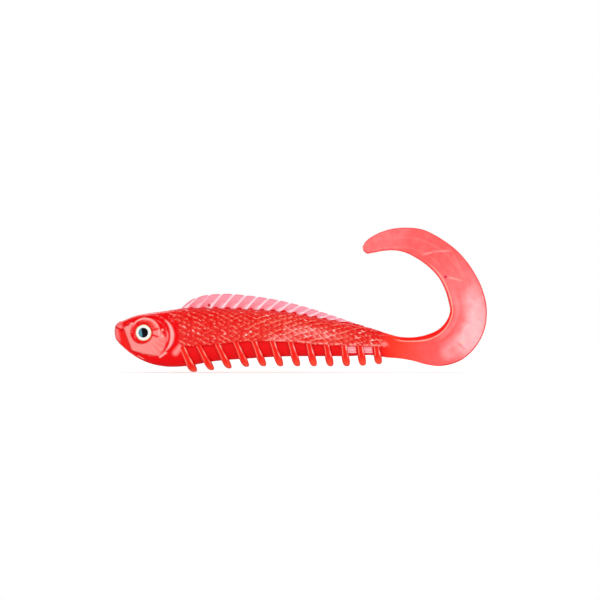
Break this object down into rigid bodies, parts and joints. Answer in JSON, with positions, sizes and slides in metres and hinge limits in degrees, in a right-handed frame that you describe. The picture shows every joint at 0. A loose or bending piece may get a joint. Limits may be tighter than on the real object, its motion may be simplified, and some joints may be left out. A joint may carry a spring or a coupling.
{
  "type": "soft plastic bait",
  "caption": "Soft fish-shaped fishing bait with a ribbed belly, a dorsal fin, domed eyes and a curled ribbon tail that flutters.",
  "frame": {"origin": "middle of the flat tip of the nose", "axes": "+X from the nose to the tail, +Z towards the dorsal fin, +Y towards the right flank"},
  "size_m": [0.0938, 0.0096, 0.0365],
  "materials": {
    "body_skin": "glossy soft PVC, deep red",
    "rib_skin": "glossy soft PVC, red",
    "fin_web": "thin glossy soft PVC, translucent pink",
    "tail_web": "thin glossy soft PVC, translucent red",
    "eye_print": "printed film",
    "eye_clear": "clear gloss dome"
  },
  "bodies": {
    "front": {"head": "body_skin", "trunk_front": "body_skin", "eye_disc_left": "eye_print", "eye_dome_left": "eye_clear", "eye_disc_right": "eye_print", "eye_dome_right": "eye_clear"},
    "trunk_2": {"trunk_2": "body_skin"},
    "trunk_3": {"trunk_3": "body_skin"},
    "trunk_4": {"trunk_4": "body_skin"},
    "trunk_rear": {"trunk_rear": "body_skin"},
    "rib_01": {"rib_01": "rib_skin"},
    "rib_02": {"rib_02": "rib_skin"},
    "rib_03": {"rib_03": "rib_skin"},
    "rib_04": {"rib_04": "rib_skin"},
    "rib_05": {"rib_05": "rib_skin"},
    "rib_06": {"rib_06": "rib_skin"},
    "rib_07": {"rib_07": "rib_skin"},
    "rib_08": {"rib_08": "rib_skin"},
    "rib_09": {"rib_09": "rib_skin"},
    "rib_10": {"rib_10": "rib_skin"},
    "rib_11": {"rib_11": "rib_skin"},
    "rib_12": {"rib_12": "rib_skin"},
    "fin_1": {"fin_1": "fin_web"},
    "fin_2": {"fin_2": "fin_web"},
    "fin_3": {"fin_3": "fin_web"},
    "fin_4": {"fin_4": "fin_web"},
    "fin_5": {"fin_5": "fin_web"},
    "tail_root": {"tail_root": "tail_web"},
    "tail_lower": {"tail_lower": "tail_web"},
    "tail_outer": {"tail_outer": "tail_web"},
    "tail_tip": {"tail_tip": "tail_web"}
  },
  "joints": [
    {"name": "trunk_bend_1", "type": "hinge", "parent": "front", "child": "trunk_2", "pos_m": [0.0342, 0, 0], "axis": [0, 0, 1], "range_deg": [-12, 12], "stiffness_Nm_per_rad": 0.014},
    {"name": "trunk_bend_2", "type": "hinge", "parent": "trunk_2", "child": "trunk_3", "pos_m": [0.04315, 0, 0], "axis": [0, 0, 1], "range_deg": [-12, 12], "stiffness_Nm_per_rad": 0.009},
    {"name": "trunk_bend_3", "type": "hinge", "parent": "trunk_3", "child": "trunk_4", "pos_m": [0.0517, 0, 0], "axis": [0, 0, 1], "range_deg": [-12, 12], "stiffness_Nm_per_rad": 0.0045},
    {"name": "trunk_bend_4", "type": "hinge", "parent": "trunk_4", "child": "trunk_rear", "pos_m": [0.0602, 0, 0], "axis": [0, 0, 1], "range_deg": [-12, 12], "stiffness_Nm_per_rad": 0.002},
    {"name": "tail_wag", "type": "hinge", "parent": "trunk_rear", "child": "tail_root", "pos_m": [0.06955, 0, -0.0037], "axis": [0, 0, 1], "range_deg": [-35, 35], "stiffness_Nm_per_rad": 0.0008},
    {"name": "tail_flutter_1", "type": "hinge", "parent": "tail_root", "child": "tail_lower", "pos_m": [0.0827, 0, -0.00405], "axis": [0.3294, 0, -0.9442], "range_deg": [-30, 30], "stiffness_Nm_per_rad": 0.0003},
    {"name": "tail_flutter_2", "type": "hinge", "parent": "tail_lower", "child": "tail_outer", "pos_m": [0.0891, 0, 0.0072], "axis": [0.9916, 0, 0.1293], "range_deg": [-30, 30], "stiffness_Nm_per_rad": 0.0002},
    {"name": "tail_flutter_3", "type": "hinge", "parent": "tail_outer", "child": "tail_tip", "pos_m": [0.08035, 0, 0.0204], "axis": [0.5956, 0, 0.8033], "range_deg": [-30, 30], "stiffness_Nm_per_rad": 0.00012},
    {"name": "rib_flex_01", "type": "hinge", "parent": "front", "child": "rib_01", "pos_m": [0.01943, 0, -0.00867], "axis": [0, 1, 0], "range_deg": [-20, 20], "stiffness_Nm_per_rad": 0.00008},
    {"name": "rib_flex_02", "type": "hinge", "parent": "front", "child": "rib_02", "pos_m": [0.02366, 0, -0.00796], "axis": [0, 1, 0], "range_deg": [-20, 20], "stiffness_Nm_per_rad": 0.00008},
    {"name": "rib_flex_03", "type": "hinge", "parent": "front", "child": "rib_03", "pos_m": [0.02815, 0, -0.00746], "axis": [0, 1, 0], "range_deg": [-20, 20], "stiffness_Nm_per_rad": 0.00008},
    {"name": "rib_flex_04", "type": "hinge", "parent": "front", "child": "rib_04", "pos_m": [0.03265, 0, -0.00709], "axis": [0, 1, 0], "range_deg": [-20, 20], "stiffness_Nm_per_rad": 0.00008},
    {"name": "rib_flex_05", "type": "hinge", "parent": "trunk_2", "child": "rib_05", "pos_m": [0.03702, 0, -0.00679], "axis": [0, 1, 0], "range_deg": [-20, 20], "stiffness_Nm_per_rad": 0.00008},
    {"name": "rib_flex_06", "type": "hinge", "parent": "trunk_2", "child": "rib_06", "pos_m": [0.04132, 0, -0.00653], "axis": [0, 1, 0], "range_deg": [-20, 20], "stiffness_Nm_per_rad": 0.00008},
    {"name": "rib_flex_07", "type": "hinge", "parent": "trunk_3", "child": "rib_07", "pos_m": [0.04565, 0, -0.00641], "axis": [0, 1, 0], "range_deg": [-20, 20], "stiffness_Nm_per_rad": 0.00008},
    {"name": "rib_flex_08", "type": "hinge", "parent": "trunk_3", "child": "rib_08", "pos_m": [0.04996, 0, -0.0064], "axis": [0, 1, 0], "range_deg": [-20, 20], "stiffness_Nm_per_rad": 0.00008},
    {"name": "rib_flex_09", "type": "hinge", "parent": "trunk_4", "child": "rib_09", "pos_m": [0.05423, 0, -0.00639], "axis": [0, 1, 0], "range_deg": [-20, 20], "stiffness_Nm_per_rad": 0.00008},
    {"name": "rib_flex_10", "type": "hinge", "parent": "trunk_4", "child": "rib_10", "pos_m": [0.05846, 0, -0.00636], "axis": [0, 1, 0], "range_deg": [-20, 20], "stiffness_Nm_per_rad": 0.00008},
    {"name": "rib_flex_11", "type": "hinge", "parent": "trunk_rear", "child": "rib_11", "pos_m": [0.06255, 0, -0.00625], "axis": [0, 1, 0], "range_deg": [-20, 20], "stiffness_Nm_per_rad": 0.00008},
    {"name": "rib_flex_12", "type": "hinge", "parent": "trunk_rear", "child": "rib_12", "pos_m": [0.06664, 0, -0.00634], "axis": [0, 1, 0], "range_deg": [-20, 20], "stiffness_Nm_per_rad": 0.00008},
    {"name": "fin_fold_1", "type": "hinge", "parent": "front", "child": "fin_1", "pos_m": [0.0257, 0, 0.00558], "axis": [0.9999, 0, -0.0151], "range_deg": [-25, 25], "stiffness_Nm_per_rad": 0.0001},
    {"name": "fin_fold_2", "type": "hinge", "parent": "trunk_2", "child": "fin_2", "pos_m": [0.03868, 0, 0.00513], "axis": [0.9974, 0, -0.0724], "range_deg": [-25, 25]},
    {"name": "fin_fold_3", "type": "hinge", "parent": "trunk_3", "child": "fin_3", "pos_m": [0.04743, 0, 0.00398], "axis": [0.9819, 0, -0.1895], "range_deg": [-25, 25]},
    {"name": "fin_fold_4", "type": "hinge", "parent": "trunk_4", "child": "fin_4", "pos_m": [0.05595, 0, 0.00237], "axis": [0.9838, 0, -0.1794], "range_deg": [-25, 25]},
    {"name": "fin_fold_5", "type": "hinge", "parent": "trunk_rear", "child": "fin_5", "pos_m": [0.0616, 0, 0.00128], "axis": [0.9747, 0, -0.2234], "range_deg": [-25, 25]}
  ],
  "couplings": [
    {"joint": "fin_fold_2", "follows": "fin_fold_1", "ratio": 1},
    {"joint": "fin_fold_3", "follows": "fin_fold_1", "ratio": 1},
    {"joint": "fin_fold_4", "follows": "fin_fold_1", "ratio": 1},
    {"joint": "fin_fold_5", "follows": "fin_fold_1", "ratio": 1}
  ]
}
